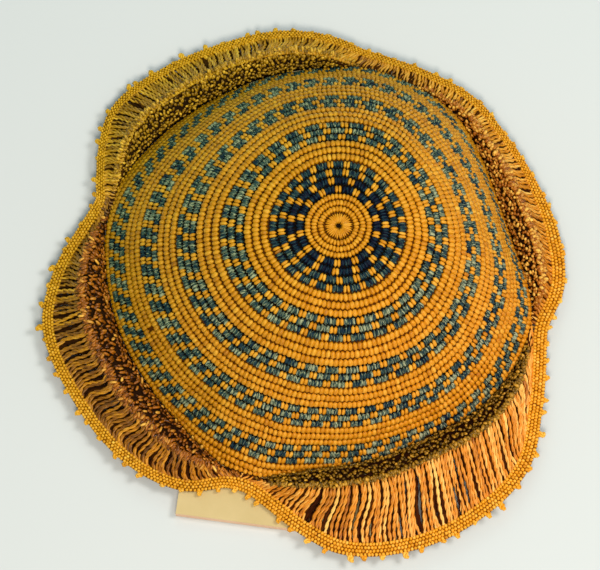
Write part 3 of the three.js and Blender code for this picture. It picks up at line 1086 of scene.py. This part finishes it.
def pile_point(lobe, share, over, inset=0.0):
    """A point on the pile: share runs along the lobe, over runs from the valley to the ridge at 1,
    and on to 1.33 for the loops that hang over the heads of the cords."""
    azimuth = ridge_azimuth(lobe, share)
    depth, wall, rise = (f(lobe, azimuth) for f in (pile_depth, pile_wall, ridge_height))
    out = np.stack([
        GAP + 0 * depth, GAP + HALFWAY_OUT * depth, depth - wall / 2, depth, HANGING_OUT * depth])
    lower = ROUNDED_OFF * wall
    high = np.stack([0 * rise, HALFWAY_UP * rise, rise, rise - lower, HANGING * rise - lower])
    place = np.asarray(over) * 3
    i = np.minimum(place.astype(int), 3)
    w = place - i
    w = w + 0.5 * w * (1 - w) * (1 - 2 * w)
    pick = np.arange(len(azimuth))
    radius = out[i, pick] * (1 - w) + out[i + 1, pick] * w
    z = high[i, pick] * (1 - w) + high[i + 1, pick] * w
    return on_plan(crown_edge(azimuth) + radius - inset * 0.3, azimuth, SEAT + np.maximum(z - inset, 0))


def pile_place(lobe, share, over):
    """Point, outward run and outward normal on the pile."""
    step, sidestep = 0.02, 0.004
    run = unit(pile_point(lobe, share, over + step) - pile_point(lobe, share, over - step))
    side = unit(pile_point(lobe, share + sidestep, over) - pile_point(lobe, share - sidestep, over))
    return pile_point(lobe, share, over), run, unit(np.cross(run, side))


front_top = pile_point("front", np.full(9, 0.5), np.linspace(0, 1, 9))[:, 2].max() - SEAT
print("the front pile stands", round(float(front_top), 1), "mm high")

# %% Backing of the pile


def pile_backing(lobe):
    """Loops round the pile's section, one after another along the lobe, with a fan on both ends."""
    columns, top = 80, 10
    share = np.linspace(0, 1, columns)
    azimuth = ridge_azimuth(lobe, share)
    wall, rise, depth = (f(lobe, azimuth) for f in (pile_wall, ridge_height, pile_depth))
    upper = [pile_point(lobe, share, np.full(columns, o), BACKING_INSET) for o in np.linspace(0, 1, top)]
    outside = on_plan(crown_edge(azimuth) + depth, azimuth, SEAT + np.maximum(rise - wall, 0))
    foot = on_plan(crown_edge(azimuth) + GAP + wall, azimuth, SEAT)
    loops = np.stack(upper + [outside, foot], 1)
    points = np.vstack([loops.reshape(-1, 3), loops[0].mean(0), loops[-1].mean(0)]) * MM
    return points, capped_skin(columns, loops.shape[1])


print("backing of the front pile:", len(pile_backing("front")[1]), "faces")

# %% Grains of the pile
# Lobe: rows of grains, pitch along a row, length and width of a grain, how far it stands up, scatter,
# first and last place over the pile, middle of the tint, finish.
PILES = {
    "right": (12, 1.6, 2.4, 1.5, 1.3, 0.35, 0.02, 1.2, 0.54, PILE),
    "far": (12, 1.5, 2.8, 1.3, 0.9, 0.25, 0.03, 0.92, 0.46, PILE_PAINTED_SHADE),
    "left": (10, 1.6, 3.6, 1.3, 0.35, 0.28, 0.03, 1.12, 0.31, PILE),
    "front": (10, 1.45, 2.3, 1.3, 0.7, 0.4, 0.03, 1.02, 0.4, PILE_PAINTED_SHADE),
}


def pile_grains(lobe):
    rows, pitch, length, width, standing, scatter, start, end, middle, _ = PILES[lobe]
    first, last, _, _ = LOBES[lobe]
    count = round(math.radians(last - first) * (CROWN_RADIUS + 6) / pitch)
    places = []
    for row in range(rows):
        share = (np.arange(count) + 0.5 * (row % 2) + draw.normal(0, 0.25, count)) / count
        share = np.clip(share, 0.002, 0.998)
        over = start + (end - start) * (row + 0.5) / rows + draw.normal(0, 0.035, count)
        over = np.clip(over, 0.03, 1.31)
        room = pile_depth(lobe, ridge_azimuth(lobe, share)) / PILE_REACH
        kept = draw.uniform(0, 1, count) < np.clip(2.6 * room, 0.12, 1)
        share, over = share[kept], over[kept]
        point, run, out = pile_place(lobe, share, over)
        lean = unit(run + standing * out + scatter * draw.normal(0, 1, (len(share), 3)))
        upright = unit(np.cross(lean, np.cross(out, run)))
        size = np.stack([
            length * draw.normal(1, 0.14, len(share)), width * draw.normal(1, 0.1, len(share)),
            width * draw.normal(1, 0.1, len(share))], -1)
        # Painted light: grains that stand higher are painted paler, as if lit, and the ones between them
        # darker, as shade.
        raised = draw.normal(0, 1, len(share))
        tint = np.clip(middle + 0.17 * raised + draw.normal(0, 0.1, len(share)), 0, 1)
        places.append((point + out * (0.1 + 0.4 * raised[:, None]), lean, upright, size, tint))
    return places


# Each backing is painted dark, as the shade between the grains.
for lobe in LOBES:
    plain_object(f"pile_{lobe}_backing", shell_mesh(f"pile_{lobe}_backing", *pile_backing(lobe), 0.12),
                 SHADE, [f"pile_{lobe}"])
    run_tree(f"pile_{lobe}_loops", stitch_guide(pile_grains(lobe)), STITCHES,
             {"Stitch": KNOT, "Wander": 0.5, "Seed": 11}, PILES[lobe][-1])

# %% [markdown]
# ## The ruffle of cords
#
# Each lobe's ruffle is a curtain of two-ply cords from the ridge down to the woven band. They hang close
# together, gather here and there into small groups and leave gaps, through which cords of the layer below
# show, painted darker as painted shade. A cloth with a cord texture would have no gaps and no crossing
# cords, so each cord is its own pair of plies, wound by the cord tree.

# %% Where the band starts
BAND_END = 6.9


def band_start(azimuth):
    """How far outside the hem the band starts: behind, where the band is turned down, it looks narrow."""
    return np.interp(np.mod(np.asarray(azimuth) + 20, 360) - 20,
                     (-20, 5, 25, 150, 175, 240, 262), (1, 1, 3.6, 3.6, 2.2, 2.2, 1))


def on_band(azimuth, share):
    """The distance outside the hem at a share of the band's width."""
    start = band_start(azimuth)
    return start + (BAND_END - start) * share


print("band at the front:", round(float(BAND_END - band_start(270)), 1), "mm wide")

# %% Cord lines
# Lobe: number of cords, sideways sweep in millimetres, waviness in millimetres, by how many degrees the
# foot of the last cord stays behind, how far the heads reach back over the pile, middle of the tint.
RUFFLES = {
    "right": (90, 0.6, 0.8, 0, 0.5, 0.66),
    "far": (120, 0.8, 0.7, 0, 2.4, 0.66),
    "left": (104, 2.4, 0.9, -2, 0, 0.44),
    "front": (98, 0.9, 0.95, 14, 0, 0.68),
}
# Layer: sink below the ruffle's face, share of the cords, gathering, tint as a share, step, sides, finish.
# The layer below is painted dark, by its tint share and its finish, as painted shade in the gaps.
LAYERS = {
    "face": (0.0, 1.0, 0.38, 1.0, 0.8, 5, CORD),
    "under": (1.7, 1.8, 0.0, 0.5, 1.6, 4, SHADE),
}
CORD_PLY = 0.52
CORD_OPENNESS = 0.62
LAY_LENGTH = 7.5
# Cords in one gathered group, sweeps along a lobe, and the length from which a cord bends fully.
GROUP = 4.3
SWEEPS = 1.6
FULL_LENGTH = 14


def cord_lines(lobe, sink, count_share, gathering):
    """A line for each cord of a layer, from the ridge to the band."""
    count, sweep, wave, behind, reach_back, _ = RUFFLES[lobe]
    count = round(count * count_share)
    first, last, _, _ = LOBES[lobe]
    phase = draw.uniform(0, 2 * math.pi, 2)
    v = np.linspace(0, 1, 14)
    lines = []
    for i in range(count):
        share = (i + 0.5) / count
        head_azimuth = float(ridge_azimuth(lobe, share + draw.normal(0, 0.15) / count))
        foot_share = share + draw.normal(0, 0.15) / count
        foot_azimuth = first + (last - first) * foot_share - behind * share**2
        depth, rise, wall = (float(f(lobe, head_azimuth)) for f in (pile_depth, ridge_height, pile_wall))
        over = min(reach_back, wall)
        head = on_plan(crown_edge(head_azimuth) + depth - 0.6 - 0.5 * sink - over, head_azimuth,
                       SEAT + max(rise - 0.2 * wall - 0.8 - sink + 0.5 * over, 0.9))
        foot = hem(foot_azimuth, band_start(foot_azimuth) + 0.5, SEAT + 1.2 - 0.3 * sink)
        line = head + (foot - head) * v[:, None]
        ahead = unit(np.array([foot[0] - head[0], foot[1] - head[1], 0]))
        side = np.array([-ahead[1], ahead[0], 0])
        full = min(1, float(np.hypot(foot[0] - head[0], foot[1] - head[1])) / FULL_LENGTH)
        bow, snake = np.sin(math.pi * v), np.sin(2 * math.pi * v)
        gather = gathering * math.sin(2 * math.pi * share * count / GROUP + phase[0]) * bow
        swing = sweep * snake * (0.6 + 0.4 * math.sin(2 * math.pi * share * SWEEPS + phase[1]))
        own = wave * draw.normal(0, 0.6) * bow + wave * draw.normal(0, 0.35) * snake
        line += side * (full * (gather + swing + own))[:, None]
        drop = (head[2] - foot[2]) * (3 * v**2 - 2 * v**3)
        line[:, 2] = head[2] - drop + full * draw.normal(0, 0.45) * bow
        line[:, 2] = np.maximum(line[:, 2], SEAT + 0.7)
        lines.append(line)
    return lines


print(sum(ruffle[0] for ruffle in RUFFLES.values()), "cords on the face of the ruffles")

# %% Wind the cords


def cord_guide(lines, tints):
    """A mesh of open lines, one for each cord, in millimetres."""
    points = np.concatenate(lines) * MM
    edges = []
    start = 0
    for line in lines:
        edges += [(start + i, start + i + 1) for i in range(len(line) - 1)]
        start += len(line)
    guide = bpy.data.meshes.new("cord_lines")
    guide.from_pydata(points, edges, [])
    store(guide, "tint", np.repeat(tints, [len(line) for line in lines]))
    return guide


for lobe in LOBES:
    for layer, (sink, count_share, gathering, lightness, step, sides, finish) in LAYERS.items():
        lines = cord_lines(lobe, sink, count_share, gathering)
        tints = np.clip(draw.normal(RUFFLES[lobe][-1], 0.11, len(lines)) * lightness, 0, 1)
        run_tree(f"ruffle_{lobe}_{layer}", cord_guide(lines, tints), CORDS, {
            "Ply radius": CORD_PLY * MM, "Openness": CORD_OPENNESS, "Lay length": LAY_LENGTH * MM,
            "Step": step * MM, "Sides": sides},
            finish, [f"ruffle_{lobe}"] if layer == "face" else ())

# %% [markdown]
# ## The woven band
#
# The rim is a narrow band with ribs that run along it like chains. The ribs are rows of slanted stitches
# over a flat closed strip, laid by the same tree as the crown.

# %% Band strip and ribs
# The strip's section: share of the band's width, and height above the seat in millimetres.
STRIP = ((0.0, 0.8), (0.06, 1.6), (0.94, 1.6), (1.0, 0.8), (0.96, 0.0), (0.04, 0.0))
# Where the ribs run across the band, and the pitch, slant, width and height of their stitches.
RIBS = (0.1, 0.36, 0.62, 0.88)
RIB_PITCH = 1.5
RIB_SLANT = 0.25
RIB_WIDTH = 1.5
RIB_HEIGHT = 2.1


def band_strip():
    steps = 720
    azimuth = rim_azimuth(np.arange(steps) / steps)
    loops = np.stack([hem(azimuth, on_band(azimuth, share), SEAT + up) for share, up in STRIP], 1)
    return loops.reshape(-1, 3) * MM, skin(steps, len(STRIP), closed=True)


def band_ribs():
    """Slanted stitches along the ribs; the slant changes sides from one rib to the next."""
    places = []
    for number, share_out in enumerate(RIBS):
        count = round(RIM_LENGTH / RIB_PITCH)
        share = (np.arange(count) + 0.5 * (number % 2) + draw.normal(0, 0.05, count)) / count
        azimuth = rim_azimuth(share)
        outwards = on_band(azimuth, share_out) + draw.normal(0, 0.05, count)
        point = hem(azimuth, outwards, SEAT + 1.5)
        square = unit(hem(azimuth, outwards + 1, 0.0) - hem(azimuth, outwards, 0.0))
        ahead = np.stack([-square[:, 1], square[:, 0], np.zeros(count)], -1)
        along = unit(square + (RIB_SLANT if number % 2 else -RIB_SLANT) * ahead)
        upright = np.tile([0.0, 0.0, 1.0], (count, 1))
        size = np.stack([
            0.3 * (BAND_END - band_start(azimuth)) * draw.normal(1, 0.05, count) + 0.2,
            draw.normal(RIB_WIDTH, 0.06, count), draw.normal(RIB_HEIGHT, 0.12, count)], -1)
        places.append((point, along, upright, size, np.clip(draw.normal(0.5, 0.1, count), 0, 1)))
    return places


# The strip under the ribs takes the dark finish: painted shade between the ribs.
plain_object("rim_band_strip", shell_mesh("rim_band_strip", *band_strip(), 0.6), SHADE,
             ["rim_band"])
run_tree("rim_band_ribs", stitch_guide(band_ribs()), STITCHES,
         {"Stitch": KNOT, "Wander": 0.12, "Seed": 21}, BAND)

# %% [markdown]
# ## Picots
#
# The last touch is a row of small picots, loops of cord that stand out from the edge every few
# millimetres. They are pulled so tight that they look like nubs. Each follows its own short line that
# starts and ends in the edge, wound by the cord tree.

# %% Picots
PICOT_PITCH = 8.0
PICOT_REACH = 1.7
PICOT_LEAST = 0.5
PICOT_HALF = 0.5
PICOT_PLY = 0.55
PICOT_OPENNESS = 0.8
PICOT_LAY = 3.6
PICOT_STEP = 0.45


def picot_reach(azimuth):
    """How far a picot stands out: at the right and the far right they are pressed down."""
    return PICOT_REACH * np.interp(
        azimuth % 360, (0, 20, 95, 125, 320, 350, 360), (0.5, 0.45, 0.45, 1, 1, 0.6, 0.5))


def picot_lines():
    """A short line for each picot, out of the band's edge and back into it."""
    lines = []
    count = round(RIM_LENGTH / PICOT_PITCH)
    t = np.linspace(0, 1, 9)
    for i in range(count):
        share = (i + draw.normal(0, 0.16)) / count
        half = draw.normal(PICOT_HALF, 0.1) / RIM_LENGTH
        stands_out = picot_reach(float(rim_azimuth(share)))
        tip = max(draw.normal(stands_out, 0.35 * stands_out), PICOT_LEAST)
        reach_out = tip * np.sin(math.pi * t) ** 0.6
        sideways = draw.normal(0, 0.5) / RIM_LENGTH * np.sin(math.pi * t)
        lines.append(hem(rim_azimuth(share - half * np.cos(math.pi * t) + sideways),
                         BAND_END - 0.3 + reach_out, SEAT + 1.0 + 0.4 * np.sin(math.pi * t)))
    return lines


lines = picot_lines()
tints = np.clip(draw.normal(0.55, 0.1, len(lines)), 0, 1)
run_tree("picots", cord_guide(lines, tints), CORDS, {
    "Ply radius": PICOT_PLY * MM, "Openness": PICOT_OPENNESS, "Lay length": PICOT_LAY * MM,
    "Step": PICOT_STEP * MM, "Sides": 5}, BAND, ["picot_edge"])

# %% [markdown]
# ## Finish
#
# The two stitch shapes were only patterns, so they are taken away.

# %% Finish
for pattern in (KNOT, FLOAT_STITCH):
    bpy.data.objects.remove(pattern)
